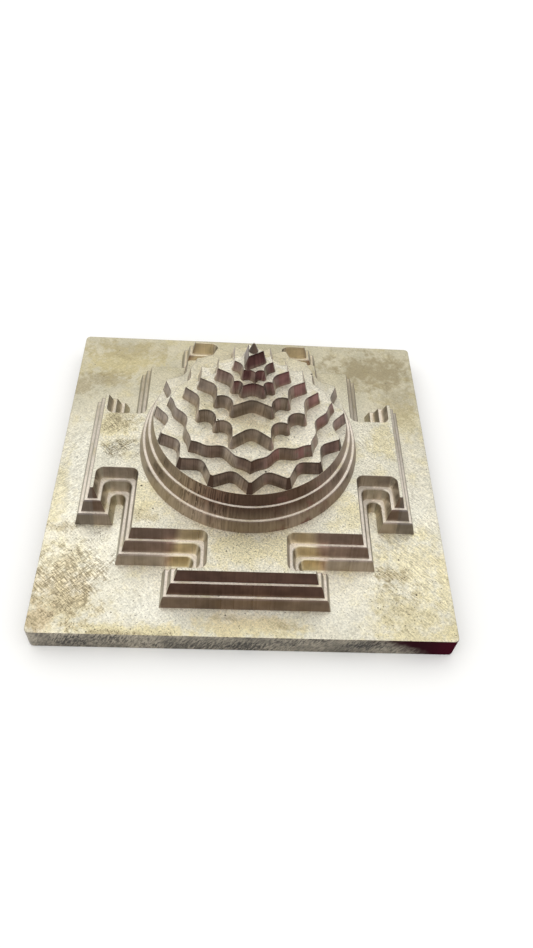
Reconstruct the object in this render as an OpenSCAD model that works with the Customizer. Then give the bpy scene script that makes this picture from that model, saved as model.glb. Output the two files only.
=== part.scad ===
// Meru shri yantra, milled from solid brass with a tapered cutter.
// The block is divided at its own terrace planes, so every terrace is a solid of its own.
// X runs along the long axis of the star, -Y faces the viewer, Z is up, and the origin is
// at the centre of the underside. Every terrace is given by the outline of its top face.

/* [Plate] */
// Thickness of the base plate
plate_t = 5.2; // [3:0.1:12]
// Width of the bare border between the gates and the plate's edge
plate_border = 5.35; // [2:0.05:15]
// Radius of the plate's upright corners
plate_corner_r = 1; // [0.5:0.1:6]

/* [Tiers] */
// Height of every step and tier, apart from the eight-pointed tier
tier_h = 2.5; // [1:0.1:4]
// Height of the eight-pointed tier
eight_point_h = 2; // [1:0.1:4]

/* [Cutter] */
// Slope of the walls from upright, in degrees
wall_draft = 15.6; // [5:0.1:22]
// Radius that the cutter leaves in the notches of the stars, at the top of a tier
notch_r = 2; // [0.8:0.1:3]
// Radius that the cutter leaves in the corners of the gates, at the top of a step
gate_r = 1.4; // [0.6:0.1:2]

/* [Square enclosure] */
// Width of the ledge that shows between two square steps
square_ledge = 0.6; // [0.3:0.1:2]
// How far the round steps' foot stands past the flat faces, onto the necks of the gates
circle_past_face = 0.5; // [0:0.05:1]
// Width of the slot behind a gate's bar, at the plate
gate_slot = 1.4; // [0.8:0.1:5]
// Width of a gate's bar, at the top of the upper step
gate_bar_w = 0.6; // [0.3:0.1:4]
// Half the width of a gate's neck, at the top of the upper step
gate_neck = 7.1; // [5:0.1:10]
// How far a gate's bar reaches past its neck on each side, at the top of the upper step
gate_arm = 5; // [3:0.1:7]

/* [Round steps] */
// Width of the ledge that shows between two round steps
circle_ledge = 0.5; // [0.2:0.1:2]

/* [Lotus tiers] */
// How far the sixteen tips stand out from their valleys
sixteen_len = 2.4; // [1:0.1:4]
// Width of the flat on each of the sixteen tips, in line with the wall of the round step below
sixteen_flat = 0.46; // [0.2:0.02:0.8]
// Gap in plan between the eight tips and the sixteen valleys
sixteen_gap = 0.2; // [0.1:0.1:2]
// How far the eight tips stand out from their valleys
eight_len = 2.35; // [1:0.05:4]
// Gap in plan between the star's circle and the eight valleys
eight_gap = 0.5; // [0.3:0.1:2]

/* [Star tiers] */
// Radius of the circle that holds the points of the widest star
star_r = 12.1; // [9:0.1:20]
// Outermost pair of base lines: distance from the centre, in 24ths of the star's radius
outer_line = 18.7; // [17.5:0.1:20]
// Half-length of the outermost base lines, in 24ths of the star's radius
outer_half = 11.2; // [10:0.1:13]
// Second pair of base lines: distance from the centre, in 24ths of the star's radius
second_line = 12.5; // [11.5:0.1:13.5]
// Half-length of the second base lines, in 24ths of the star's radius
second_half = 16; // [14.5:0.1:17]
// Longest pair of base lines: distance from the centre, in 24ths of the star's radius
long_line = 6.7; // [6:0.1:7.5]
// Innermost pair of base lines: distance from the centre, in 24ths of the star's radius
inner_line = 3.5; // [3:0.1:4]
// Half-length of the innermost base lines, in 24ths of the star's radius
inner_half = 8.05; // [7.5:0.05:8.5]
// Side points of the eight-pointed tier: distance from the long axis, in 24ths of the star's radius
waist_half = 5.4; // [5:0.1:6]
// Side points of the eight-pointed tier: distance past the centre, in 24ths of the star's radius
waist_line = 0.5; // [0:0.1:1]
// Depth of the notches beside those side points, in 24ths of the star's radius
waist_notch = 1.3; // [0.8:0.1:1.8]

/* [Centre] */
// Half-length of the triangle's base
triangle_half = 1.6; // [1:0.05:2]
// Distance of the triangle's base from the centre
triangle_base = 1.05; // [0.6:0.05:1.4]
// Distance of the triangle's point from the centre
triangle_tip = 1.55; // [1:0.05:2]
// Height of the pointed bindu on the triangle
bindu_h = 1.7; // [1:0.1:3]
// Radius of the bindu at its foot
bindu_foot_r = 0.85; // [0.5:0.05:1]
// Radius of the bindu's blunt point
bindu_tip_r = 0.16; // [0.05:0.01:0.3]

/* [Hidden] */
$fn = 96;

brass = [0.80, 0.75, 0.62];
brass_wall = [0.66, 0.58, 0.45];

// Largest turn between two facets of a rounded corner, and the turn below which a corner stays plain
facet_turn = 12;
plain_turn = 25;
// Turn below which a tip is mitred, and stays sharp down to the foot
mitred_turn = 95;
// How far the foot of a flat tip stays inside the rim below it
tip_inset = 0.02;
// Smallest radius that a notch keeps at the foot of its wall
least_r = 0.06;
// Share of a wall that one rounded notch may take: alone on it, or facing another one
whole_wall = 0.95;
half_wall = 0.47;
// Number of square steps, and of round steps
step_count = 3;
// Parts that the star's radius is divided into, and how far an ogee swells, as a share of its length
star_parts = 24;
ogee_swell = 0.075;

// How far a wall of height h spreads from its top edge to its foot
function spread(h) = h * tan(wall_draft);

// Plan of the tiers, worked outwards from the star
eight_valley_r = star_r + eight_gap;
eight_tip_r = eight_valley_r + eight_len;
sixteen_valley_r = eight_tip_r + sixteen_gap;
sixteen_tip_r = sixteen_valley_r + sixteen_len;
circle_top_r = sixteen_tip_r + spread(tier_h) + tip_inset;
circle_step = spread(tier_h) + circle_ledge;
circle_foot_r = circle_top_r + (step_count - 1) * circle_step + spread(tier_h);
square_step = spread(tier_h) + square_ledge;
square_reach = (step_count - 1) * square_step + spread(tier_h);
face_top = circle_foot_r - circle_past_face;
bar_inner_top = face_top + 2 * square_reach + gate_slot;
bar_outer_top = bar_inner_top + gate_bar_w;
bar_half_top = gate_neck + gate_arm;
plate_side = 2 * (bar_outer_top + square_reach + plate_border);

// Heights of the terrace planes
square_z = plate_t;
circle_z = square_z + step_count * tier_h;
lotus_z = circle_z + step_count * tier_h;
eight_petal_z = lotus_z + tier_h;
star_z = eight_petal_z + tier_h;
outer_ten_z = star_z + tier_h;
inner_ten_z = outer_ten_z + tier_h;
eight_point_z = inner_ten_z + tier_h;
triangle_z = eight_point_z + eight_point_h;
bindu_z = triangle_z + tier_h;

// Outward normal of the wall from a to b, on an outline that runs anticlockwise
function outward(a, b) = let (d = b - a) [d.y, -d.x] / norm(d);
function turn_between(n1, n2) = atan2(n1.x * n2.y - n1.y * n2.x, n1 * n2);
function along(angle) = [cos(angle), sin(angle)];
function flat(lists) = [for (list = lists) for (item = list) item];
function first(list) = list[0];
function last(list) = list[len(list) - 1];
function reversed(list) = [for (i = [len(list) - 1 : -1 : 0]) list[i]];
function mirrored_x(list) = [for (p = list) [-p.x, p.y]];
function mirrored_y(list) = [for (p = list) [p.x, -p.y]];
function starts(lists, i = 0, at = 0) =
    i == len(lists) ? [] : concat([at], starts(lists, i + 1, at + len(lists[i])));

// One corner of an outline whose walls stand out by a distance: a blunt tip is mitred, a sharp one
// is swept round by the cutter's flank, and a notch keeps the cutter's own radius, less at the foot
function corner(before, p, after, out, notch, share) =
    let (
        n1 = outward(before, p),
        n2 = outward(p, after),
        turn = turn_between(n1, n2),
        mitre = (n1 + n2) / (1 + n1 * n2),
        steps = ceil(abs(turn) / facet_turn),
        first = atan2(n1.y, n1.x),
        angles = [for (i = [0 : steps]) first + turn * i / steps],
        wall = min(norm(p - before), norm(after - p)),
        fit = min(notch, share * wall / tan(abs(turn) / 2)),
        r = max(fit - out, least_r)
    )
    turn > -plain_turn && turn < mitred_turn ? [p + out * mitre]
    : turn < 0 ? [for (a = angles) p + (out + r) * mitre - r * along(a)]
    : out == 0 ? [p]
    : [for (a = angles) p + out * along(a)];

function corners(outline, out, notch, share) =
    let (n = len(outline))
    [for (i = [0 : n - 1])
        corner(outline[(i + n - 1) % n], outline[i], outline[(i + 1) % n], out, notch, share)];

// Numbers of the points of every corner, counted on from a first number
function numbered(lists, first_number) =
    let (at = starts(lists))
    [for (i = [0 : len(lists) - 1]) [for (k = [0 : len(lists[i]) - 1]) first_number + at[i] + k]];

// A terrace: the outline is its top face, and its walls slope out to the foot
module milled(outline, h, notch, share, gated = false) {
    feet = corners(outline, spread(h), notch, share);
    tops = corners(outline, 0, notch, share);
    foot_runs = numbered(feet, 0);
    top_runs = numbered(tops, len(flat(feet)));
    n = len(outline);
    bends = [for (i = [0 : n - 1]) let (f = foot_runs[i], t = top_runs[i])
        for (k = [1 : 1 : len(f) - 1])
            len(t) == 1 ? [t[0], f[k], f[k - 1]] : [t[k - 1], t[k], f[k], f[k - 1]]];
    walls = [for (i = [0 : n - 1]) let (j = (i + 1) % n)
        [last(top_runs[i]), first(top_runs[j]), first(foot_runs[j]), last(foot_runs[i])]];
    foot_faces = gated ? gated_faces(foot_runs) : [flat(foot_runs)];
    top_faces = gated ? gated_faces(top_runs) : [flat(top_runs)];
    polyhedron(
        [for (p = flat(feet)) [p.x, p.y, 0], for (p = flat(tops)) [p.x, p.y, h]],
        concat(foot_faces, [for (face = top_faces) reversed(face)], walls, bends));
}

// Square with a T-shaped gate on each side; grow moves every face outwards
function gate_side(grow) =
    let (
        face = face_top + grow,
        neck = gate_neck + grow,
        inner = bar_inner_top - grow,
        outer = bar_outer_top + grow,
        half = bar_half_top + grow,
        left = [[-neck, -face], [-neck, -inner], [-half, -inner], [-half, -outer]]
    )
    concat([[-face, -face]], left, reversed(mirrored_x(left)));

function turned(p, quarter) =
    let (c = along(90 * quarter)) [p.x * c.x - p.y * c.y, p.x * c.y + p.y * c.x];

function gated_square(grow) =
    [for (quarter = [0 : 3]) for (p = gate_side(grow)) turned(p, quarter)];

// Flat face of a gated square, divided into its middle and, on each side, the gate's neck, its two
// arms, the bar between them and the square's corner, so that no three points of one lie in a line
function gated_faces(runs) =
    let (
        side = len(runs) / 4,
        middle = [for (q = [0 : 3]) each [first(runs[q * side + 1]), last(runs[q * side + side - 1])]],
        parts = [for (q = [0 : 3]) let (r = [for (i = [0 : side + 1]) runs[(q * side + i) % len(runs)]])
            each [
                concat(r[1], r[2], r[7], r[8]),
                concat([last(r[2])], r[3], r[4]),
                concat(r[5], r[6], [first(r[7])]),
                [last(r[2]), last(r[4]), first(r[5]), first(r[7])],
                concat([last(r[8])], r[9], [first(r[10])])
            ]]
    )
    concat([middle], parts);

// Lotus outlines, with a tip towards -Y: a petal's edge runs from its tip at t = 0 to the valley
// at t = 1, straight or, where it has more than one part, as an ogee; a tip may have a flat
function ogee(t) = 1 - t - ogee_swell * sin(540 * t);
function petal_ring(count, valley_r, length, parts, tip_flat = 0) =
    [for (i = [0 : count * 2 * parts - 1])
        let (
            t = abs((i + parts) % (2 * parts) - parts) / parts,
            r = valley_r + length * (parts == 1 ? 1 - t : ogee(t)),
            angle = 180 * i / (count * parts) - 90,
            half = atan(tip_flat / 2 / r)
        )
        each t == 0 && tip_flat > 0
            ? [r * along(angle - half), r * along(angle + half)]
            : [r * along(angle)]];

// Half-width, at a distance v from the centre, of the triangle with this base line and far point
function side_at(v, line, half, point) = half * (point - v) / (point + line);
long_half = sqrt(star_parts * star_parts - long_line * long_line);
function long_side(v) = side_at(v, long_line, long_half, star_parts);
function second_side(v) = side_at(v, second_line, second_half, outer_line);
function inner_side(v) = side_at(v, inner_line, inner_half, second_line);
function outer_side(v) = side_at(v, outer_line, outer_half, long_line);

// Stars on [half-width, distance along the axis] points, in 24ths of the star's radius
fourteen_quarter = [[0, star_parts],
    [long_side(outer_line), outer_line], [outer_half, outer_line],
    [long_side(second_line), second_line], [second_half, second_line],
    [long_side(long_line), long_line], [long_half, long_line],
    [long_side(0), 0]];
outer_ten_quarter = [[0, outer_line],
    [second_side(second_line), second_line], [long_side(second_line), second_line],
    [second_side(long_line), long_line], [long_side(long_line), long_line],
    [second_side(0), 0]];
inner_ten_quarter = [[0, second_line],
    [inner_side(long_line), long_line], [second_side(long_line), long_line],
    [inner_side(inner_line), inner_line], [inner_half, inner_line],
    [inner_side(0), 0]];
waist_tip = [waist_half, -waist_line];
inner_tip = [inner_side(inner_line), inner_line];
function waist_root(tip) = (tip + waist_tip) / 2 - [waist_notch, 0];
eight_point_half = [[0, long_line],
    [outer_side(inner_line), inner_line], inner_tip,
    waist_root(inner_tip), waist_tip, waist_root([inner_tip.x, -inner_tip.y]),
    [inner_tip.x, -inner_tip.y], [outer_side(inner_line), -inner_line],
    [0, -long_line]];

function but_last(list) = [for (i = [0 : 1 : len(list) - 2]) list[i]];
function both_ends(quarter) = concat(quarter, reversed(mirrored_y(but_last(quarter))));
function both_sides(half) =
    concat(half, [for (i = [len(half) - 2 : -1 : 1]) [-half[i].x, half[i].y]]);
function star_plan(half) =
    [for (p = both_sides(half)) [-p.y, -p.x] * star_r / star_parts];

module at_height(z) {
    translate([0, 0, z]) children();
}

module base_plate() {
    inner = plate_side - 2 * plate_corner_r;
    color(brass) linear_extrude(plate_t) {
        square([plate_side, inner], center = true);
        square([inner, plate_side], center = true);
        for (x = [-1, 1], y = [-1, 1])
            translate([x, y] * inner / 2) circle(plate_corner_r);
    }
}

// Square step and round step of this level, counted from 0 at the foot
module square_step_at(level) {
    grow = (step_count - 1 - level) * square_step;
    color(brass_wall) at_height(square_z + level * tier_h)
        milled(gated_square(grow), tier_h, gate_r, half_wall, gated = true);
}

module circle_step_at(level) {
    top_r = circle_top_r + (step_count - 1 - level) * circle_step;
    color(brass_wall) at_height(circle_z + level * tier_h)
        cylinder(h = tier_h, r1 = top_r + spread(tier_h), r2 = top_r);
}

module sixteen_petal_tier() {
    color(brass) at_height(lotus_z)
        milled(petal_ring(16, sixteen_valley_r, sixteen_len, 1, sixteen_flat), tier_h, notch_r, whole_wall);
}

module eight_petal_tier() {
    color(brass) at_height(eight_petal_z)
        milled(petal_ring(8, eight_valley_r, eight_len, 8), tier_h, notch_r, whole_wall);
}

module star_tier(half, z, h) {
    color(brass) at_height(z) milled(star_plan(half), h, notch_r, whole_wall);
}

module central_triangle() {
    plan = [[-triangle_base, triangle_half], [-triangle_base, -triangle_half], [triangle_tip, 0]];
    color(brass) at_height(triangle_z) milled(plan, tier_h, notch_r, whole_wall);
}

module bindu_point() {
    middle = (triangle_tip - 2 * triangle_base) / 3;
    color(brass_wall) translate([middle, 0, bindu_z])
        cylinder(h = bindu_h, r1 = bindu_foot_r, r2 = bindu_tip_r);
}

base_plate();
square_step_at(0);  // square_step_lower
square_step_at(1);  // square_step_middle
square_step_at(2);  // square_step_upper
circle_step_at(0);  // circle_step_lower
circle_step_at(1);  // circle_step_middle
circle_step_at(2);  // circle_step_upper
sixteen_petal_tier();
eight_petal_tier();
star_tier(both_ends(fourteen_quarter), star_z, tier_h);  // fourteen_point_tier
star_tier(both_ends(outer_ten_quarter), outer_ten_z, tier_h);  // outer_ten_point_tier
star_tier(both_ends(inner_ten_quarter), inner_ten_z, tier_h);  // inner_ten_point_tier
star_tier(eight_point_half, eight_point_z, eight_point_h);  // eight_point_tier
central_triangle();
bindu_point();
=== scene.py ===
from math import radians

import bmesh
import bpy
from mathutils import Matrix, Vector


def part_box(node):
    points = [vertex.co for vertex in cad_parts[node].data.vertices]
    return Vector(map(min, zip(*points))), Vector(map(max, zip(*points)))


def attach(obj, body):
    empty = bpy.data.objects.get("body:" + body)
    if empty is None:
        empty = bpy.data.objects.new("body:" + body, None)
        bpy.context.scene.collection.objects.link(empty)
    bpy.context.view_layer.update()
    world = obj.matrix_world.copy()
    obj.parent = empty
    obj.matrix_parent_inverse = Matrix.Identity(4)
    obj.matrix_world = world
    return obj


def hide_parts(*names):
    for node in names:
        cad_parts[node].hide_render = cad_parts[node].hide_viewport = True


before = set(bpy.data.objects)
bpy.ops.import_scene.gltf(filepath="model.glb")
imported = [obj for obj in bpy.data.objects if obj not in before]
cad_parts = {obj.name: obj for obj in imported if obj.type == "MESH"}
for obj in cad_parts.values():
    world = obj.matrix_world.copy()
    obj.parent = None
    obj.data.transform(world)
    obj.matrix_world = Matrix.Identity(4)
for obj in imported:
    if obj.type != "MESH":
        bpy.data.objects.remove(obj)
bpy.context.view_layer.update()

# Sizes, in metres
MM = 0.001
RIMS = {"base_plate": 0.22 * MM, "circle_step_upper": 0.015 * MM,
        "circle_step_middle": 0.14 * MM, "circle_step_lower": 0.14 * MM,
        "square_step_middle": 0.20 * MM, "square_step_lower": 0.20 * MM}
OTHER_RIM = 0.07 * MM
RIM_SEGMENTS = 2
WELD = 0.002 * MM
FLOOR_SIZE = 20.0
GRAIN_DEPTH = 0.06 * MM
NEAREST_SEEN = 5 * MM
# Depth that a tier's foot reaches into the piece below, so that no gap shows at its edge
SEAT = 0.1 * MM
# Profile of a round bevel
ROUND_PROFILE = 0.5
# Angles that tell a flat face from a bend, and a bend from a crease, on a wall and on a rim
FLAT = radians(1)
CREASE = radians(30)
RIM_CREASE = radians(15)
# Length from which a wall counts as straight, not part of a rounded notch, and the name of that mark
LONG_WALL = 1.6 * MM
STRAIGHT = "straight"
# Smallest upward part of a normal that counts as a top face
FACING_UP = 0.9

# Places and lengths on the surface, in millimetres
# Radius of the notches and corners and of the round steps, for the spacing of the streaks on them
NOTCH_BEND = 2.0
ROUND_BEND = 20.0
# Outward run of a wall for its height, and the foot, reach and flat tips of the sixteen petals
WALL_SLOPE = 0.279
PETAL_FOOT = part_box("sixteen_petal_tier")[0].z / MM
PETAL_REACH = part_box("sixteen_petal_tier")[1].x / MM
PETAL_TIP = (PETAL_REACH - 0.12, PETAL_REACH - 0.06)
# Heights of tops at which the wall colours change, and half the height over which they do
SIXTEEN_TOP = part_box("sixteen_petal_tier")[1].z / MM
PETALS_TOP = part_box("eight_petal_tier")[1].z / MM
EIGHT_POINT_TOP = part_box("eight_point_tier")[1].z / MM
TIER_CHANGE = 0.1
# Heights over which the square steps' walls change: all three steps, past the first, into the third,
# up the painted olive reflection in the pockets and the painted light on the slot walls, and down from
# the top of the painted light that trails beside a bar
SQUARES = (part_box("square_step_lower")[0].z / MM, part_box("square_step_upper")[1].z / MM)
PAST_FIRST_SQUARE = (7.4, 8.4)
THIRD_SQUARE = (9.5, 11.5)
UP_OLIVE_REFLECTION = (7.0, 11.5)
UP_LIT_SLOT = (6.5, 11.0)
TRAIL_TOP = (10.6, 10.0)
# Heights over which the round steps' walls change: up all of them, down into the first, up the streaks
UP_ROUNDS = (13.5, 18.0)
FIRST_ROUND = (15.4, 14.8)
UP_STREAKS = (14.0, 17.5)
# Heights over which the petals' and stars' walls change: up the petals and the lower stars, down into
# these, up into and along the upper stars, and at the central triangle
UP_PETALS = (22.5, 26.0)
UP_LOWER_STARS = (25.0, 28.5)
LOWER_STARS = (30.6, 30.0)
UPPER_STARS = (30.0, 32.8)
UP_UPPER_STARS = (31.0, 34.0)
AT_TRIANGLE = (34.5, 35.0)
# Distances from the middle: out to the gates' bars, in from a bar's end, and round a bar's end
TO_BAR = (28.9, 29.3)
BAR_END = (15.2, 14.8)
BESIDE_BAR = (11.8, 13.3)
PAST_BAR = (16.2, 14.2)
TRAIL = (20.0, 14.5)
# Half width of the pockets behind the bars, low and high, how much less it is at the sides, and the
# distances over which their painted reflection of brass on brass fades in
POCKET_LOW = 14.0
POCKET_HIGH = 12.2
SIDE_POCKET_LESS = 1.6
POCKET_FADE = (-1.2, 0.9)
# Narrow and wide bands about the middle line, over which left gives way to right
MIDDLE = (-2.0, 2.0)
WIDE_MIDDLE = (-3.0, 3.0)
# Distances to the side: into the middle petals, into the walls on the right with painted red
# reflection, out of the paler part of the plate's side, into the dark red patch there and into its maroon end
MIDDLE_PETALS = (5.5, 2.5)
RED_REFLECTION_WALLS = (1.0, 4.0)
PALER_SIDE = (-20, 0)
RED_PATCH = (25.5, 34.5)
MAROON = (31.0, 37.5)
# How much further the dark red patch reaches for its height, and how far its edge wanders
RED_PATCH_LEAN = 1.1
RED_PATCH_WANDER = (-2.0, 2.0)
# Distances to the side of the ledges that are darkened as painted shade, and the depth over which they are
OUTER_SHADED_LEDGES = (29.4, 29.8)
INNER_SHADED_LEDGES = (24.6, 24.2)
SHADED_LEDGE_DEPTH = (-14, 6)
# Depths at which the painted sheen, a brighter band on a top, begins and ends, and over which grain
# and strokes show
SHEEN_NEAR = (-34, -27)
SHEEN_FAR = (-5, -14)
GRAIN_SHOWS = (30, 0)
STROKES_SHOW = (12, 0)

# Shares of a wall's height over which the dark line under its rim comes in
RIM_LINE = (0.84, 0.97)
# Sideways parts of a level normal: from left to right, and from the front to the left
LEFT_TO_RIGHT = (-0.5, 0.5)
TURNED_LEFT = (-0.2, -0.5)
# Values of a noise: most of them, the middle ones, and those that give dark and light scratches
MOST = (0.3, 0.7)
CLOUDY = (0.35, 0.65)
DARK_NOISE = (0.5, 0.66)
LIGHT_NOISE = (0.5, 0.34)
# Scratches on the tops: angles in degrees, length and widths, and the least strength of each way
FALLING_ANGLE = -45
RISING_ANGLE = 42
SCRATCH_LENGTH = 1.5
FALLING_WIDTH = 0.24
RISING_WIDTH = 0.26
LEAST_FALL = 0.2
LEAST_RISE = 0.12
# Share of a dark scratch's colour, tone of a light one, and how far the grain darkens and lightens
GROOVE_SHARE = 0.75
LIGHT_TONE = 1.24
GRAIN_DARK = 0.17
GRAIN_LIGHT = 0.13
# Lean of the saw marks on the plate's sides for their height, and how soon they change downwards
SAW_LEAN = 0.4
SAW_FALL = 0.34
# Offset that makes one noise differ from another
ELSEWHERE = (40, 70, 0)

# Camera fitted to the photograph: place in metres, its right and up directions, and its lens
CAMERA_PLACE = Vector((-3.739, -96.992, 124.671)) * MM
CAMERA_RIGHT = Vector((0.998158, -0.004880, 0.060468))
CAMERA_UP = Vector((-0.033891, 0.781842, 0.622555))
FOCAL_PIXELS = 747.965
IMAGE_HEIGHT_PIXELS = 948
SENSOR_MM = 36

# Colours of the tops, linear
WHITE = (0.80, 0.78, 0.68, 1)
PALE = (0.735, 0.700, 0.580, 1)
GREY = (0.655, 0.630, 0.525, 1)
# Ledges and tiers are paler, as painted light that makes up for the shade of the walls beside them
LIT_LEDGE_PALE = (0.98, 0.905, 0.81, 1)
LIT_LEDGE_GREY = (0.90, 0.825, 0.725, 1)
LIT_TIER_PALE = (0.90, 0.86, 0.74, 1)
LIT_TIER_GREY = (0.82, 0.785, 0.67, 1)
YELLOW = (0.68, 0.61, 0.38, 1)
TAN = (0.62, 0.515, 0.345, 1)
BROWN = (0.37, 0.31, 0.19, 1)
GROOVE = (0.22, 0.18, 0.11, 1)
PIT = (0.10, 0.085, 0.06, 1)
# Tints that multiply the tops, at the back and at the front
BACK_TINT = (0.75, 0.72, 0.62, 1)
UNCHANGED = (1, 1, 1, 1)
# Colours of the walls, linear, kept dark as painted shade for the dark surroundings that brass reflects
MAIN_LOW = (0.300, 0.245, 0.200, 1)
MAIN_HIGH = (0.150, 0.104, 0.084, 1)
BAR_LOW = (0.170, 0.123, 0.093, 1)
BAR_HIGH = (0.080, 0.046, 0.035, 1)
SIDE_BAR_LOW = (0.225, 0.193, 0.168, 1)
SIDE_BAR_HIGH = (0.180, 0.148, 0.136, 1)
# Painted light on walls turned to the side: lighter turned left, darker turned right
LIT_END_LEFT = (0.345, 0.316, 0.247, 1)
SHADED_END_RIGHT = (0.290, 0.255, 0.203, 1)
# Painted reflections of brass on brass in the pockets, golden and olive
GOLD_REFLECTION = (0.815, 0.730, 0.545, 1)
OLIVE_REFLECTION = (0.450, 0.385, 0.310, 1)
# Painted light on the slot walls that face the middle
LIT_SLOT_LOW = (0.890, 0.825, 0.670, 1)
LIT_SLOT_HIGH = (0.670, 0.615, 0.520, 1)
ROUND_LOW = (0.264, 0.205, 0.158, 1)
ROUND_HIGH = (0.080, 0.049, 0.034, 1)
TIP_BROWN = (0.060, 0.036, 0.026, 1)
# Painted light on the round steps' walls turned left and right, and a painted red reflection
ROUND_LEFT_LIT = (0.260, 0.205, 0.138, 1)
ROUND_LEFT_LIT_LOW = (0.345, 0.285, 0.220, 1)
ROUND_RIGHT_LIT = (0.250, 0.187, 0.152, 1)
ROUND_RED_REFLECTION = (0.170, 0.080, 0.066, 1)
STAR_BROWN = (0.112, 0.078, 0.060, 1)
STAR_OLIVE = (0.145, 0.112, 0.086, 1)
# Painted red reflection on the upper stars' front walls
STAR_RED_REFLECTION = (0.110, 0.050, 0.046, 1)
# Painted light on star walls turned outward or to the left
STAR_SIDE_LIT = (0.310, 0.258, 0.215, 1)
# Painted red reflection on star walls turned right
STAR_RIGHT_REFLECTION = (0.152, 0.072, 0.067, 1)
# Painted reflection on star walls seen side-on
STAR_FLANK_LIT = (0.460, 0.390, 0.325, 1)
STAR_DARK = (0.062, 0.036, 0.026, 1)
STAR_FOOT = (0.300, 0.245, 0.195, 1)
SIDE_GREY = (0.292, 0.261, 0.206, 1)
SIDE_BLACK = (0.030, 0.026, 0.022, 1)
SIDE_DARK_RED = (0.026, 0.007, 0.010, 1)
SIDE_MAROON = (0.046, 0.006, 0.013, 1)
BINDU_BROWN = (0.090, 0.068, 0.054, 1)
FLOOR_COLOUR = (0.96, 0.96, 0.955, 1)
SKY_COLOUR = (1.0, 0.995, 0.98, 1)
# Strength of the sky low down and overhead, what the horizon adds, its share at the left and right,
# and the upward parts of a direction between which it brightens
SKY_LOW = 0.82
SKY_HIGH = 1.26
SKY_RIM = 0.18
SKY_LEFT = 1.1
SKY_RIGHT = 0.92
HORIZON = 0.1
OVERHEAD = 0.95

# Share of the wall colours that this sky calls for
WALL_TONE = 0.92
# Metallic share of bare brass
ALL_METAL = 1.0
# Range of roughness on the walls, on the wide tops, and on the narrower tops that stand close to walls
WALL_SATIN = (0.26, 0.44)
SATIN = (0.28, 0.46)
MATT = (0.55, 0.70)
FLOOR_ROUGHNESS = 0.9
# Relief: its strength, and the shares of the grain, the light scratches and the streaks on the walls
RELIEF = 0.8
GRAIN_RELIEF = 0.33
LIGHT_RELIEF = 0.6
STREAK_RELIEF = 0.25

# Marks on the tops: middle x and y, half width and half depth in millimetres, and strength
PLATE_MARKS = {
    "yellow": [(32, -22, 9, 8, 0.6), (30, -33, 10, 6, 0.8), (-1, -36.3, 13, 2.8, 0.9),
               (-20, -37.5, 16, 2.2, 0.9), (35, 15, 5, 8, 0.6), (-28, 30, 12, 7, 0.8),
               (-37, -8, 2, 14, 0.6), (-33, -33, 8, 6, 0.8),
               (30, -37.5, 10, 2, 0.8), (37, -27, 2.5, 11, 0.7), (-34, -24, 7, 5, 0.5),
               (36.5, -36.5, 4, 4, 0.9)],
    "tan": [(-33, -30, 8, 8, 0.5), (-1, -35, 12, 3, 0.4), (-36, -35, 4, 5, 0.9)],
    "brown": [(28, 30, 13, 8, 0.8), (34, 20, 6, 7, 0.45), (-32, 24, 8, 3, 0.6), (-37, 22, 4, 4, 0.6),
              (-27, 34, 12, 4, 0.4), (-35, -16, 4.5, 1.6, 0.8), (-33, -29, 8, 8, 0.5),
              (27, -25, 4, 2.5, 0.9), (28, -31, 6, 5, 0.3), (-3, -34.5, 2.5, 0.9, 0.7),
              (7.6, -35.8, 2.5, 0.9, 0.7), (-22, -38, 9, 1.0, 0.8),
              (-34, -24, 5, 4, 0.25), (-37, -36, 2.5, 4, 0.7)],
    "white": [(-33, 0, 6, 14, 0.8), (-16, -33, 12, 5, 0.8), (18, -33, 8, 4, 0.5), (34, -8, 5, 6, 0.5),
              (2, -33.2, 11, 1.5, 1.0), (-24, -19, 8, 6, 0.6), (-26, 25, 6, 5, 0.4)],
    "falling": [(33, -20, 12, 24, 0.6), (36, 5, 5, 14, 0.4)],
    "rising": [(-36, -2, 6, 16, 0.5), (-30, 25, 14, 14, 0.3)],
    "crossed": [(-32, -27, 10, 12, 0.9)],
    "pitted": [(-35, -16, 5, 2, 0.8), (-24, -37.5, 14, 2, 0.8), (-33, -31, 8, 8, 0.4),
               (27, -25, 5, 3, 0.7), (28, -31, 7, 6, 0.5)],
}
SQUARE_MARKS = {
    "yellow": [(-27, 4, 6, 7, 0.8), (-20, -15, 5, 6, 0.6), (27, 2, 4, 6, 0.7),
               (19, -16, 5, 6, 0.6), (0, -25, 12, 5, 0.7)],
    "brown": [(-26, 6, 4, 4, 0.6), (-25, -3, 3, 3, 0.4), (-19, -18, 3, 2, 0.5)],
    "falling": [(25, 3, 7, 12, 0.5)],
    "rising": [(-25, 8, 5, 8, 0.4)],
    "crossed": [(-25.4, -2, 5, 4, 1.0), (-26, 5, 4, 5, 0.7)],
    "pitted": [(-25.4, -2, 4, 4, 0.9), (-26, 5, 5, 6, 0.9), (16, -17, 6, 3, 0.8), (-18, -19, 4, 2, 0.6),
               (0, -24, 12, 6, 0.45)],
}
TIER_MARKS = {
    "yellow": [(-9, -4, 4, 5, 0.5), (0, -9, 7, 3, 0.5), (7, -12, 5, 3, 0.4), (-12, 3, 4, 4, 0.4)],
    "tan": [(0, -6, 6, 3.5, 0.5), (0, -17, 14, 3.5, 0.4), (-6, -11, 4, 2.5, 0.35)],
}
MARK_KINDS = ("white", "yellow", "tan", "brown", "falling", "rising", "crossed", "pitted")
# Worn black patches on the sides of the plate: middle x and height, half width and half height, strength
SIDE_MARKS = [(-30, 2.2, 4, 2.4, 0.9), (-24, 3.4, 4, 1.8, 0.7), (-9, 1.6, 8, 2.4, 0.7),
              (0, 1.8, 5, 2.2, 0.9), (7, 3.4, 4, 1.5, 0.6), (21.5, 3.2, 4, 1.8, 1.0),
              (13, 4.9, 2.5, 0.8, 0.8)]
# Distance from a mark's middle, as a share of its half size, over which it fades away
MARK_FADE = (0.25, 1.1)


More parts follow.
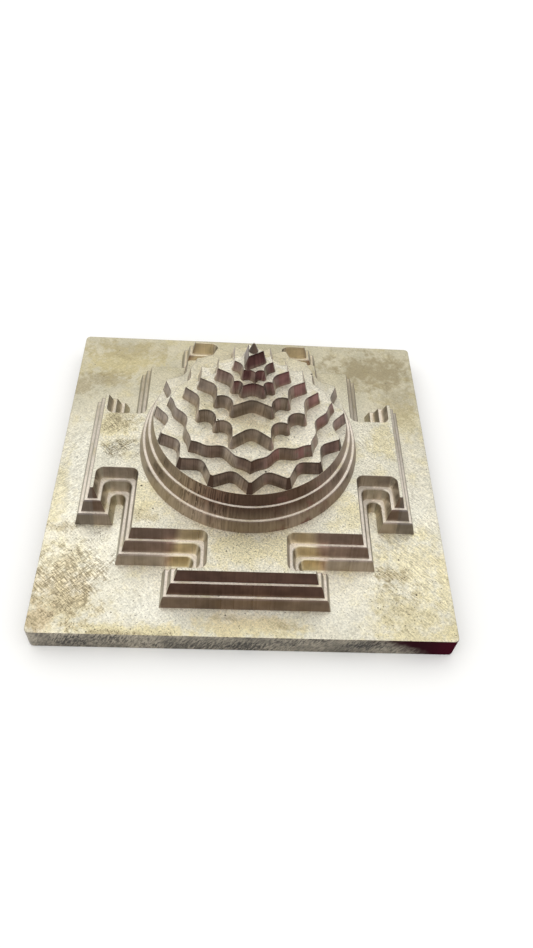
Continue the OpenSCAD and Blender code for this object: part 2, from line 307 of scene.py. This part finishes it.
class Nodes:
    """Builds one node tree. An input takes a number, a colour, a vector or another node's output."""

    def __init__(self, tree):
        self.tree = tree
        tree.nodes.clear()

    def add(self, kind, inputs=None, **settings):
        """Adds a node, sets it up and fills its inputs, by name or by number."""
        made = self.tree.nodes.new(kind)
        for name, value in settings.items():
            setattr(made, name, value)
        for key, value in (inputs or {}).items():
            if isinstance(value, bpy.types.NodeSocket):
                self.tree.links.new(value, made.inputs[key])
            else:
                made.inputs[key].default_value = value
        return made

    def coordinate(self, kind):
        return self.add("ShaderNodeTexCoord").outputs[kind]

    def vector(self, operation, **inputs):
        keys = {"first": 0, "second": 1, "scale": "Scale"}
        named = {keys[key]: value for key, value in inputs.items()}
        made = self.add("ShaderNodeVectorMath", named, operation=operation)
        return made.outputs["Value" if operation == "LENGTH" else "Vector"]

    def millimetres(self):
        """Place on the object, in millimetres."""
        return self.vector("SCALE", first=self.coordinate("Object"), scale=1 / MM)

    def in_plan(self, vector):
        """The level part of a vector."""
        return self.vector("MULTIPLY", first=vector, second=(1, 1, 0))

    def parts(self, vector):
        return self.add("ShaderNodeSeparateXYZ", {0: vector}).outputs

    def math(self, operation, *values):
        return self.add("ShaderNodeMath", dict(enumerate(values)), operation=operation).outputs[0]

    def product(self, first, *others):
        for other in others:
            first = self.math("MULTIPLY", first, other)
        return first

    def largest(self, first, *others):
        for other in others:
            first = self.math("MAXIMUM", first, other)
        return first

    def absolute(self, value):
        return self.math("ABSOLUTE", value)

    def left_over(self, share):
        """What a share leaves of one."""
        return self.math("SUBTRACT", 1.0, share)

    def between(self, value, start, end, to_start=0.0, to_end=1.0):
        """Smooth step of a value from start up or down to end, on to a new range."""
        inputs = {"Value": value, "From Min": start, "From Max": end, "To Min": to_start, "To Max": to_end}
        return self.add("ShaderNodeMapRange", inputs, interpolation_type="SMOOTHSTEP").outputs[0]

    def above(self, height, level, to_low=0.0, to_high=1.0):
        """Quick step of a height past a tier's top, on to a new range."""
        return self.between(height, level - TIER_CHANGE, level + TIER_CHANGE, to_low, to_high)

    def noise(self, vector, per_mm, detail=3.0, roughness=0.55):
        inputs = {"Vector": vector, "Scale": per_mm, "Detail": detail, "Roughness": roughness}
        return self.add("ShaderNodeTexNoise", inputs).outputs[0]

    def streaks(self, vector, angle, length, width):
        """Noise drawn out along one direction of the plan, in millimetres."""
        inputs = {"Vector": vector, "Rotation": (0, 0, radians(angle)), "Scale": (length, width, 1)}
        lit_by_facing = self.add("ShaderNodeMapping", inputs, vector_type="TEXTURE").outputs[0]
        return self.noise(lit_by_facing, per_mm=1.0, detail=2.0)

    def along_wall(self, place, normal, bend, lean=0.0, fall=0.0):
        """Place that changes along a wall and round its bends, and leans and changes with height as asked."""
        x, y, z = self.parts(place)
        along = self.math("SUBTRACT", self.product(x, normal[1]), self.product(y, normal[0]))
        leaned = self.math("MULTIPLY_ADD", z, lean, along)
        down = self.math("MULTIPLY_ADD", z, fall, self.product(normal[1], bend))
        inputs = {0: leaned, 1: self.product(normal[0], bend), 2: down}
        return self.add("ShaderNodeCombineXYZ", inputs).outputs[0]

    def number(self, factor, low, high):
        return self.add("ShaderNodeMix", {0: factor, 2: low, 3: high}).outputs[0]

    def colour(self, factor, first, second):
        return self.add("ShaderNodeMix", {0: factor, 6: first, 7: second}, data_type="RGBA").outputs[2]

    def scaled(self, colour, factor):
        if isinstance(colour, tuple):
            colour = colour[:3]
        return self.vector("SCALE", first=colour, scale=factor)

    def specks(self, vector, per_mm, size, share):
        """Small round marks in a share of the cells of a cell pattern."""
        cells = self.add("ShaderNodeTexVoronoi", {"Vector": vector, "Scale": per_mm})
        pick = self.parts(cells.outputs["Color"])
        reach = self.product(pick[1], size)
        near = self.math("LESS_THAN", cells.outputs["Distance"], reach)
        return self.product(near, self.math("LESS_THAN", pick[0], share))

    def spots(self, place, ragged, marks):
        """Soft patches with ragged edges on the plan; the strongest counts where they overlap."""
        strongest = 0.0
        for x, y, wide, deep, strength in marks:
            offset = self.vector("SUBTRACT", first=place, second=(x, y, 0))
            measured = self.vector("MULTIPLY", first=offset, second=(1 / wide, 1 / deep, 0))
            far = self.math("ADD", self.vector("LENGTH", first=measured), ragged)
            strongest = self.largest(strongest, self.between(far, *MARK_FADE, strength, 0.0))
        return strongest


def new_material(name):
    """Empty material and the builder of its nodes."""
    material = bpy.data.materials.new(name)
    material.use_nodes = True
    return material, Nodes(material.node_tree)


def surface(nodes, **inputs):
    """Ends a material with one shader; an underscore in an input's name stands for a space."""
    named = {key.replace("_", " "): value for key, value in inputs.items()}
    shader = nodes.add("ShaderNodeBsdfPrincipled", named)
    nodes.add("ShaderNodeOutputMaterial", {"Surface": shader.outputs[0]})


def plate_sides(nodes, place, normal, _drawn):
    """Grey sawn sides with leaning saw marks and worn black patches, and a dark red patch at the front right.
    """
    x, _, z = nodes.parts(place)
    strokes = nodes.along_wall(place, normal, NOTCH_BEND, lean=SAW_LEAN, fall=SAW_FALL)
    saw = nodes.noise(strokes, per_mm=2.4, detail=4, roughness=0.7)
    clouds = nodes.noise(place, per_mm=0.17, detail=4, roughness=0.6)
    upright = nodes.add("ShaderNodeCombineXYZ", {0: x, 1: z}).outputs[0]
    marked = nodes.spots(upright, nodes.between(saw, *MOST, -0.5, 0.5), SIDE_MARKS)
    ragged = nodes.math("MULTIPLY_ADD", nodes.math("SUBTRACT", saw, 0.5), 0.7, clouds)
    worn = nodes.largest(nodes.between(ragged, 0.5, 0.66, 0.0, 0.75), marked)
    blackened = nodes.product(worn, nodes.between(saw, 0.62, 0.42, 0.5, 1.0))
    contrast = nodes.between(saw, 0.34, 0.66, 0.38, 1.78)
    grey = nodes.scaled(SIDE_GREY, nodes.product(contrast, nodes.between(x, *PALER_SIDE, 1.05, 0.9)))
    sawn = nodes.colour(blackened, grey, SIDE_BLACK)

    # The dark red patch reaches further along the side the higher it is
    wander = nodes.between(clouds, *MOST, *RED_PATCH_WANDER)
    reach = nodes.math("ADD", nodes.math("MULTIPLY_ADD", z, RED_PATCH_LEAN, x), wander)
    at_front = nodes.between(normal[1], -0.2, -0.6)
    patched = nodes.product(nodes.between(reach, *RED_PATCH), at_front)
    red_patch_colour = nodes.colour(nodes.between(x, *MAROON), SIDE_DARK_RED, SIDE_MAROON)
    return nodes.colour(patched, sawn, red_patch_colour), nodes.left_over(patched)


def painted_bar_end_light(nodes, z, across, raised):
    """Painted light beside a bar's end, lifting the walls where the bar's reflection would darken them."""
    beside = nodes.product(nodes.between(across, *BESIDE_BAR), nodes.between(across, *PAST_BAR),
                           nodes.between(z, *THIRD_SQUARE, 1.2, 0.3))
    trailing = nodes.product(nodes.between(across, *TRAIL, 0.0, 0.5), raised, nodes.between(z, *TRAIL_TOP))
    return nodes.largest(beside, trailing)


def pocket_reflection_share(nodes, y, z, across, sidelong):
    """Share of the painted reflection of brass on brass that lines the pockets behind the bars."""
    edge = nodes.number(nodes.between(z, *SQUARES), POCKET_LOW, POCKET_HIGH)
    reach = nodes.math("SUBTRACT", edge, nodes.math("MULTIPLY_ADD", sidelong, SIDE_POCKET_LESS, across))
    fade = nodes.largest(nodes.between(z, *THIRD_SQUARE, 0.95, 0.6), nodes.between(y, *MIDDLE, 0.0, 0.85))
    return nodes.product(nodes.between(reach, *POCKET_FADE), fade)


def enclosure_walls(nodes, place, normal, drawn):
    """Brown walls, darker on the gates' fronts, with painted reflections, olive at the sides and golden in
    the pockets, and painted light on walls turned left or right, on the slot walls and beside the bars' ends.
    """
    x, y, z = nodes.parts(place)
    wide = nodes.absolute(x)
    deep = nodes.absolute(y)
    across = nodes.math("MINIMUM", wide, deep)
    sidelong = nodes.between(nodes.math("SUBTRACT", wide, deep), *MIDDLE)
    facing = nodes.left_over(sidelong)
    on_bar = nodes.between(nodes.largest(wide, deep), *TO_BAR)
    off_bar = nodes.left_over(on_bar)

    raised = nodes.between(z, *PAST_FIRST_SQUARE)
    main = nodes.colour(raised, MAIN_LOW, MAIN_HIGH)
    bar = nodes.colour(raised, BAR_LOW, BAR_HIGH)
    side_bar = nodes.colour(raised, SIDE_BAR_LOW, SIDE_BAR_HIGH)
    gate_front = nodes.product(on_bar, nodes.between(across, *BAR_END), facing)
    fronted = nodes.scaled(nodes.colour(gate_front, main, bar), nodes.between(x, *WIDE_MIDDLE, 1.0, 1.13))
    barred = nodes.colour(nodes.product(sidelong, on_bar), fronted, side_bar)
    # Painted light beside the bars' ends
    painted_lift = nodes.product(painted_bar_end_light(nodes, z, across, raised), facing, off_bar)
    browned = nodes.scaled(barred, nodes.math("ADD", painted_lift, 1.0))

    # Painted reflection of brass on brass lining the pockets
    reflected_olive = nodes.scaled(OLIVE_REFLECTION, nodes.between(z, *UP_OLIVE_REFLECTION, 1.2, 0.72))
    reflected_lining = nodes.colour(sidelong, GOLD_REFLECTION, reflected_olive)
    pocket_reflection = nodes.product(pocket_reflection_share(nodes, y, z, across, sidelong), off_bar)
    pocket_reflected = nodes.colour(pocket_reflection, browned, reflected_lining)
    # Painted light: walls turned left are lighter than walls turned right
    lit_and_shaded_ends = nodes.colour(nodes.between(normal[0], *LEFT_TO_RIGHT), LIT_END_LEFT, SHADED_END_RIGHT)
    ends_painted = nodes.colour(nodes.between(nodes.absolute(normal[0]), 0.55, 0.9), pocket_reflected, lit_and_shaded_ends)
    # Painted light: slot walls that face the middle are pale, lighter low down and at the right
    inward = nodes.between(nodes.product(nodes.math("SIGN", x), normal[0]), -0.1, -0.7)
    lit_slot = nodes.colour(nodes.between(z, *UP_LIT_SLOT), LIT_SLOT_LOW, LIT_SLOT_HIGH)
    lit_slot = nodes.scaled(lit_slot, nodes.between(x, *MIDDLE, 0.9, 1.05))
    slot_lit = nodes.colour(nodes.product(inward, sidelong), ends_painted, lit_slot)

    clouds = nodes.between(nodes.noise(place, per_mm=0.3), *CLOUDY, 0.85, 1.15)
    streaks = nodes.between(drawn, *MOST, 0.88, 1.14)
    return nodes.scaled(slot_lit, nodes.product(clouds, streaks)), ALL_METAL


def round_walls(nodes, place, normal, drawn):
    """Brown round steps, palest at the bottom, with dark upright streaks at the front left; painted light
    and a painted red reflection tint the walls by the way they face.
    """
    z = nodes.parts(place)[2]
    sideways = normal[0]
    front = nodes.colour(nodes.between(z, *UP_ROUNDS), ROUND_LOW, ROUND_HIGH)
    # Painted light: walls turned aside from the front are brighter
    front = nodes.scaled(front, nodes.between(nodes.absolute(sideways), 0.05, 0.4, 0.87, 1.22))
    # Painted red reflection in patches on walls turned right
    patches = nodes.between(nodes.noise(place, per_mm=0.3), 0.48, 0.62)
    red_reflection_share = nodes.product(patches, nodes.between(sideways, 0.1, 0.4, 0.0, 0.8))
    red_reflected = nodes.colour(red_reflection_share, front, ROUND_RED_REFLECTION)
    # Painted light: walls turned left are paler and more golden, walls turned right take their own lit tone
    left = nodes.colour(nodes.between(z, *FIRST_ROUND), ROUND_LEFT_LIT, ROUND_LEFT_LIT_LOW)
    left_lit = nodes.colour(nodes.between(sideways, -0.3, -0.85), red_reflected, left)
    right = nodes.scaled(ROUND_RIGHT_LIT, nodes.between(z, *FIRST_ROUND, 1.0, 1.1))
    lit_by_facing = nodes.colour(nodes.between(sideways, 0.45, 0.9), left_lit, right)

    faint = nodes.between(drawn, *MOST, 0.82, 1.2)
    strong = nodes.between(drawn, 0.38, 0.62, 0.55, 1.9)
    front_left = nodes.product(nodes.between(sideways, -0.75, -0.5), nodes.between(sideways, -0.05, -0.25))
    streaked = nodes.product(front_left, nodes.between(z, *UP_STREAKS, 0.25, 1.0))
    return nodes.scaled(lit_by_facing, nodes.number(streaked, faint, strong)), ALL_METAL


def star_front(nodes, x, z, sideways, petals):
    """Colour of the walls that face the front: brown, olive on the lower stars, and a painted red
    reflection on the upper.
    """
    lower = nodes.product(nodes.left_over(petals), nodes.between(z, *LOWER_STARS))
    # Painted red reflection on the upper stars' front walls, less where they turn left
    upper = nodes.product(nodes.between(z, *UPPER_STARS), nodes.between(sideways, *TURNED_LEFT, 1.0, 0.45))
    front = nodes.colour(upper, nodes.colour(lower, STAR_BROWN, STAR_OLIVE), STAR_RED_REFLECTION)
    middle = nodes.product(nodes.between(nodes.absolute(x), *MIDDLE_PETALS), nodes.above(z, SIXTEEN_TOP),
                           petals, nodes.between(sideways, -0.6, -0.1, 0.3, 0.9))
    return nodes.colour(middle, front, STAR_DARK)


def star_red_reflection(nodes, place, normal, petals):
    """Share of painted red reflection on the walls that face the front right, less in the rounded notches."""
    x, _, z = nodes.parts(place)
    sideways = normal[0]
    red_reflection_patches = nodes.product(nodes.between(nodes.noise(place, per_mm=0.5), 0.5, 0.62),
                          nodes.between(sideways, 0.05, 0.3, 0.0, 0.8))
    red_slant_share = nodes.product(nodes.between(sideways, 0.3, 0.42), nodes.between(sideways, 0.98, 0.85))
    long = nodes.add("ShaderNodeAttribute", attribute_name=STRAIGHT).outputs["Fac"]
    straight = nodes.between(nodes.largest(long, petals), 0.0, 1.0, 0.4, 1.0)
    return nodes.product(nodes.largest(red_slant_share, red_reflection_patches), nodes.between(normal[1], -0.1, -0.45),
                         nodes.between(x, *RED_REFLECTION_WALLS), straight, nodes.above(z, SIXTEEN_TOP, 0.55, 0.85))


def star_shade(nodes, place, sideways, height, drawn):
    """Tone of the walls by tier, and as painted light by the way the upper ones face, with patches, cutter
    streaks and a dark line under the rim.
    """
    z = nodes.parts(place)[2]
    # Painted light: on the upper stars, walls that face the front are darker than those turned left
    upper = nodes.between(sideways, *TURNED_LEFT, 0.6, nodes.above(z, EIGHT_POINT_TOP, 1.1, 0.8))
    tiers = nodes.product(nodes.between(z, *UP_PETALS, 0.95, 1.1),
                          nodes.number(nodes.between(z, *UP_UPPER_STARS), 1.0, upper))
    patches = nodes.between(nodes.noise(place, per_mm=0.35), *CLOUDY, 0.78, 1.3)
    streaks = nodes.between(drawn, 0.32, 0.68, 0.75, 1.3)
    rim = nodes.between(height, *RIM_LINE, 1.0, 0.55)
    return nodes.product(tiers, patches, streaks, rim)


def star_walls(nodes, place, normal, drawn):
    """Brown petals and stars, paler at the foot; painted light greys walls turned outward or left and makes
    walls seen side-on pale, and a painted red reflection reddens them on the right and at the top.
    """
    x, _, z = nodes.parts(place)
    height = nodes.parts(nodes.coordinate("Generated"))[2]
    sideways = normal[0]
    sidelong = nodes.absolute(sideways)
    petals = nodes.left_over(nodes.above(z, PETALS_TOP))
    # Painted light: walls turned away from the middle, or to the left, are greyed
    outward = nodes.product(sideways, nodes.between(x, *WIDE_MIDDLE, -1.0, 1.0))
    leftward = nodes.product(sideways, nodes.above(z, PETALS_TOP, -0.45, -0.75))
    side_lit_share = nodes.product(nodes.between(nodes.largest(outward, leftward), 0.15, 0.9),
                           nodes.between(z, *UP_LOWER_STARS, 1.0, 0.4),
                           nodes.between(z, *AT_TRIANGLE, 1.0, 0.1))
    side_lit = nodes.colour(side_lit_share, star_front(nodes, x, z, sideways, petals), STAR_SIDE_LIT)
    red_reflected = nodes.colour(star_red_reflection(nodes, place, normal, petals), side_lit, STAR_RIGHT_REFLECTION)
    # Painted reflection: walls seen side-on are made pale
    painted_flank = nodes.product(nodes.between(sidelong, 0.86, 0.97), nodes.above(z, PETALS_TOP, 0.0, 0.9),
                          nodes.above(z, EIGHT_POINT_TOP, 1.0, 0.2))
    flank_lit = nodes.colour(painted_flank, red_reflected, STAR_FLANK_LIT)
    low = nodes.between(height, nodes.between(x, *MIDDLE, 0.5, 0.3), 0.0)
    foot = nodes.product(low, nodes.between(sidelong, 0.2, 0.8, 0.2, 0.7))
    footed = nodes.colour(foot, flank_lit, STAR_FOOT)
    shaded = nodes.scaled(footed, star_shade(nodes, place, sideways, height, drawn))

    spread = nodes.product(nodes.math("SUBTRACT", z, PETAL_FOOT), WALL_SLOPE)
    radius = nodes.vector("LENGTH", first=nodes.in_plan(place))
    tips = nodes.between(nodes.math("ADD", radius, spread), *PETAL_TIP)
    return nodes.colour(tips, shaded, TIP_BROWN), ALL_METAL


def bindu_sides(nodes, _place, normal, drawn):
    """Grey-brown point, painted browner and a little lighter where it faces right, as painted light."""
    lit_by_facing = nodes.colour(nodes.between(normal[0], *LEFT_TO_RIGHT), BINDU_BROWN, STAR_BROWN)
    return nodes.scaled(lit_by_facing, nodes.between(drawn, *MOST, 0.8, 1.2)), ALL_METAL


def scratches(nodes, place, mark):
    """Pattern of the falling scratches, and the shares of dark and light ones of both ways."""
    falling = nodes.streaks(place, FALLING_ANGLE, SCRATCH_LENGTH, FALLING_WIDTH)
    rising = nodes.streaks(place, RISING_ANGLE, SCRATCH_LENGTH, RISING_WIDTH)
    fall = nodes.largest(mark["falling"], mark["crossed"], LEAST_FALL)
    rise = nodes.largest(mark["rising"], mark["crossed"], LEAST_RISE)
    dark, light = (nodes.largest(nodes.product(nodes.between(falling, *values), fall),
                                 nodes.product(nodes.between(rising, *values), rise))
                   for values in (DARK_NOISE, LIGHT_NOISE))
    return falling, dark, light


def top_colour(nodes, place, mark, falling, pale, grey):
    """Clouded brass with white, yellow and tan patches and brown rubbed ones."""
    y = nodes.parts(place)[1]
    clouded = nodes.colour(nodes.between(nodes.noise(place, per_mm=0.16), 0.4, 0.65), pale, grey)
    shifted = nodes.vector("ADD", first=place, second=ELSEWHERE)
    faint = nodes.between(nodes.noise(shifted, per_mm=0.25), 0.5, 0.75, 0.0, 0.6)
    tinted = nodes.colour(faint, clouded, YELLOW)
    for kind, colour in (("white", WHITE), ("yellow", YELLOW), ("tan", TAN)):
        tinted = nodes.colour(mark[kind], tinted, colour)
    stroked = nodes.between(falling, 0.35, 0.6, 0.4, 1.0)
    rubbed = nodes.product(mark["brown"], nodes.number(nodes.between(y, *STROKES_SHOW), 0.9, stroked))
    return nodes.colour(rubbed, tinted, BROWN)


def top_pits(nodes, place, pitted):
    """Share of dark pits: round specks all over, and flecks that are denser on pitted patches."""
    specks = nodes.specks(place, per_mm=0.8, size=0.16, share=0.25)
    flecks = nodes.math("SUBTRACT", nodes.noise(place, per_mm=3.4, detail=1), nodes.product(pitted, 0.1))
    return nodes.largest(specks, nodes.between(flecks, 0.32, 0.25, 0.0, 0.8))


def painted_top_light(nodes, x, y, painted_flanks, painted_sheen):
    """Painted light on the tops: painted shade on the ledges at both sides, and a painted sheen that
    brightens a band at the front.
    """
    wide = nodes.absolute(x)
    sidelong = nodes.between(nodes.math("SUBTRACT", wide, nodes.absolute(y)), *MIDDLE)
    shaded_ledges = nodes.largest(nodes.between(wide, *OUTER_SHADED_LEDGES), nodes.between(wide, *INNER_SHADED_LEDGES))
    share = nodes.product(sidelong, shaded_ledges, nodes.between(y, *SHADED_LEDGE_DEPTH, 0.35, 1.0))
    # Painted shade: the side ledges darken, by one tone at the left and one at the right
    painted_flank = nodes.number(share, 1.0, nodes.between(x, *MIDDLE, *painted_flanks))
    # Painted sheen: a band across the front of a top is brightened
    sheen_band = nodes.product(nodes.between(y, *SHEEN_NEAR), nodes.between(y, *SHEEN_FAR))
    return nodes.product(painted_flank, nodes.number(sheen_band, 1.0, painted_sheen))


def brass_material(name, walls, marks, bend=NOTCH_BEND, pale=PALE, grey=GREY, coarse=1.0, roughness=SATIN,
                   back_darkening=(4, 22, 1.0), painted_flanks=(1.0, 1.0), edge=(0.955, 0.99), painted_sheen=1.0):
    """Milled brass: pale grained tops with marks of use and painted light, and walls painted dark as shade,
    with upright cutter streaks.

    A top darkens towards the back over a range of depths, up to a share. Its flanks carry painted shade,
    with a tone at the left and one at the right; a band at its front carries a painted sheen; and its
    edge is the range of upward parts of a normal over which a wall becomes a top.
    """
    material, nodes = new_material(name)
    place = nodes.millimetres()
    x, y, _ = nodes.parts(place)
    outward = nodes.coordinate("Normal")
    upward = nodes.parts(outward)[2]
    normal = nodes.parts(nodes.vector("NORMALIZE", first=nodes.in_plan(outward)))
    side_rim = nodes.product(nodes.between(nodes.absolute(normal[0]), 0.6, 0.9, 0.0, 0.4),
                             nodes.between(upward, 0.9, 0.94))
    up = nodes.largest(nodes.between(upward, *edge), side_rim)

    ragged = nodes.between(nodes.noise(place, per_mm=0.5, detail=4, roughness=0.65), *MOST, -0.4, 0.4)
    mark = {kind: nodes.spots(place, ragged, marks.get(kind, ())) for kind in MARK_KINDS}
    falling, dark, light = scratches(nodes, place, mark)
    grain = nodes.noise(place, per_mm=3.0, detail=3, roughness=0.6)
    near = nodes.between(y, *GRAIN_SHOWS, 0.5, 1.0)
    patched = top_colour(nodes, place, mark, falling, pale, grey)
    grooved = nodes.colour(nodes.product(dark, GROOVE_SHARE), patched, GROOVE)
    pits = nodes.product(top_pits(nodes, place, mark["pitted"]), min(coarse, 1.0), near)
    pitted = nodes.colour(pits, grooved, PIT)
    grained = nodes.between(grain, *MOST, 1 - GRAIN_DARK * coarse, 1 + GRAIN_LIGHT * coarse)
    lightened = nodes.between(light, 0.0, 1.0, 1.0, LIGHT_TONE)
    shade = nodes.product(nodes.number(near, 1.0, grained), lightened,
                          painted_top_light(nodes, x, y, painted_flanks, painted_sheen))
    darkening_from, darkening_to, most_darkening = back_darkening
    darker_back = nodes.colour(nodes.between(y, darkening_from, darkening_to, 0.0, most_darkening), UNCHANGED, BACK_TINT)
    top = nodes.vector("MULTIPLY", first=nodes.scaled(pitted, shade), second=darker_back)

    drawn = nodes.noise(nodes.along_wall(place, normal, bend), per_mm=2.2, detail=4, roughness=0.65)
    side, metal = walls(nodes, place, normal, drawn)
    side = nodes.scaled(side, WALL_TONE)
    smooth_side = nodes.between(drawn, *MOST, *WALL_SATIN)
    smooth_top = nodes.between(grain, *MOST, *roughness)
    cut = nodes.math("SUBTRACT", nodes.product(light, LIGHT_RELIEF), dark)
    cut = nodes.math("MULTIPLY_ADD", grain, GRAIN_RELIEF, cut)
    relief = nodes.number(up, nodes.product(drawn, STREAK_RELIEF), cut)
    bump = nodes.add("ShaderNodeBump", {"Height": relief, "Strength": RELIEF, "Distance": GRAIN_DEPTH})
    surface(nodes, Base_Color=nodes.colour(up, side, top), Metallic=metal, Specular_IOR_Level=0.0,
            Roughness=nodes.number(up, smooth_side, smooth_top), Normal=bump.outputs[0])
    return material


def bare_walls(name):
    """Walls of a node without its flat faces, each flat stretch one face, with their creases marked."""
    shape = bmesh.new()
    shape.from_mesh(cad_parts[name].data)
    bmesh.ops.remove_doubles(shape, verts=shape.verts, dist=WELD)
    flats = [face for face in shape.faces if abs(face.normal.z) > FACING_UP]
    bmesh.ops.delete(shape, geom=flats, context="FACES")
    seams = [line for line in shape.edges if line.is_manifold and line.calc_face_angle() < FLAT]
    bmesh.ops.dissolve_edges(shape, edges=seams)
    for line in shape.edges:
        bend = line.calc_face_angle(0)
        ends_a_tip = len({len(face.verts) for face in line.link_faces}) > 1
        line.smooth = bend < CREASE and not ends_a_tip
    return shape


def flat_face(shape, height):
    """Closes a shape with one flat face at this height, and returns the edges round it."""
    rim = [edge for edge in shape.edges
           if edge.is_boundary and all(abs(corner.co.z - height) < WELD for corner in edge.verts)]
    bmesh.ops.edgeloop_fill(shape, edges=rim)
    return rim


def mark_straight(shape, cut):
    """Marks the faces along the long lines of the cut edges."""
    straight = shape.faces.layers.float.new(STRAIGHT)
    for line in cut:
        for face in line.link_faces:
            face[straight] = float(line.calc_length() > LONG_WALL)


def round_rims(shape, cut, width):
    """Bevels the cut edges, and keeps the lines beside a bevel and the creases across it sharp."""
    rim = bmesh.ops.bevel(shape, geom=cut, offset=width, segments=RIM_SEGMENTS, profile=ROUND_PROFILE,
                          affect="EDGES", clamp_overlap=True)["faces"]
    for face in shape.faces:
        face.smooth = True
    for line in shape.edges:
        on_rim = sum(face in rim for face in line.link_faces)
        if on_rim == 1 or (on_rim == 2 and line.calc_face_angle() > RIM_CREASE):
            line.smooth = False


def finish_node(name, rim_width, material):
    """Replaces a node by a copy with its cut edges rounded; a tier's seat on the one below is left open."""
    foot, top = (corner.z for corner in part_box(name))
    shape = bare_walls(name)
    cut = flat_face(shape, top)
    if name == "base_plate":
        cut += flat_face(shape, foot)
    else:
        for corner in shape.verts:
            if abs(corner.co.z - foot) < WELD:
                corner.co.z -= SEAT
    bmesh.ops.recalc_face_normals(shape, faces=shape.faces)
    mark_straight(shape, cut)
    round_rims(shape, cut, rim_width)
    mesh = bpy.data.meshes.new("finished_" + name)
    shape.to_mesh(mesh)
    shape.free()
    mesh.materials.append(material)
    piece = bpy.data.objects.new(mesh.name, mesh)
    bpy.context.collection.objects.link(piece)
    piece.modifiers.new("flat walls", "WEIGHTED_NORMAL").keep_sharp = True
    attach(piece, "root")
    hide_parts(name)


def make_floor():
    """A wide, pale, matt floor."""
    mesh = bpy.data.meshes.new("floor")
    half = FLOOR_SIZE / 2
    corners = [(-half, -half, 0), (half, -half, 0), (half, half, 0), (-half, half, 0)]
    mesh.from_pydata(corners, [], [(0, 1, 2, 3)])
    material, nodes = new_material("floor")
    surface(nodes, Base_Color=FLOOR_COLOUR, Roughness=FLOOR_ROUGHNESS)
    mesh.materials.append(material)
    floor = bpy.data.objects.new("floor", mesh)
    bpy.context.collection.objects.link(floor)


def make_light():
    """A wide pale sky, brighter overhead and at the left."""
    world = bpy.data.worlds.new("studio")
    world.use_nodes = True
    nodes = Nodes(world.node_tree)
    x, _, z = nodes.parts(nodes.coordinate("Generated"))
    overhead = nodes.between(z, HORIZON, OVERHEAD, SKY_LOW, SKY_HIGH)
    horizon = nodes.between(z, HORIZON, 0.0, 0.0, SKY_RIM)
    sideways = nodes.between(x, *LEFT_TO_RIGHT, SKY_LEFT, SKY_RIGHT)
    strength = nodes.product(nodes.math("ADD", overhead, horizon), sideways)
    background = nodes.add("ShaderNodeBackground", {"Color": SKY_COLOUR, "Strength": strength})
    nodes.add("ShaderNodeOutputWorld", {"Surface": background.outputs[0]})
    bpy.context.scene.world = world


def make_camera():
    """The photograph's view."""
    lens = bpy.data.cameras.new("camera")
    lens.sensor_fit = "VERTICAL"
    lens.sensor_height = SENSOR_MM
    lens.lens = FOCAL_PIXELS / IMAGE_HEIGHT_PIXELS * SENSOR_MM
    lens.clip_start = NEAREST_SEEN
    camera = bpy.data.objects.new("camera", lens)
    axes = Matrix((CAMERA_RIGHT, CAMERA_UP, CAMERA_RIGHT.cross(CAMERA_UP))).transposed()
    camera.matrix_world = Matrix.Translation(CAMERA_PLACE) @ axes.to_4x4()
    bpy.context.collection.objects.link(camera)
    bpy.context.scene.camera = camera


make_camera()
make_floor()
make_light()
# Ledges and tiers take paler tops, as painted light against the shade of the walls beside them
ledge = {"marks": {}, "pale": LIT_LEDGE_PALE, "grey": LIT_LEDGE_GREY, "coarse": 0.4, "roughness": MATT}
tier = {"marks": TIER_MARKS, "pale": LIT_TIER_PALE, "grey": LIT_TIER_GREY, "coarse": 1.2, "roughness": MATT,
        "back_darkening": (3, 13, 1.0), "painted_flanks": (0.90, 0.86)}
finishes = {
    "base_plate": brass_material("plate_brass", plate_sides, PLATE_MARKS, coarse=1.4, back_darkening=(0, 26, 0.8),
                                 edge=(0.45, 0.9), painted_sheen=1.13),
    "square_step_upper": brass_material("enclosure_brass", enclosure_walls, SQUARE_MARKS, coarse=1.7,
                                        painted_sheen=1.05),
    "square_step": brass_material("enclosure_ledge_brass", enclosure_walls, painted_flanks=(0.75, 0.62), **ledge),
    "circle_step_upper": brass_material("upper_round_brass", round_walls, bend=ROUND_BEND, **tier),
    "circle_step": brass_material("round_brass", round_walls, bend=ROUND_BEND, painted_flanks=(0.85, 0.95), **ledge),
    "bindu": brass_material("bindu_brass", bindu_sides, **tier),
    "": brass_material("tier_brass", star_walls, **tier),
}
for node_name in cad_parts:
    kind = next(start for start in finishes if node_name.startswith(start))
    finish_node(node_name, RIMS.get(node_name, OTHER_RIM), finishes[kind])

bpy.context.scene.view_settings.view_transform = "Standard"
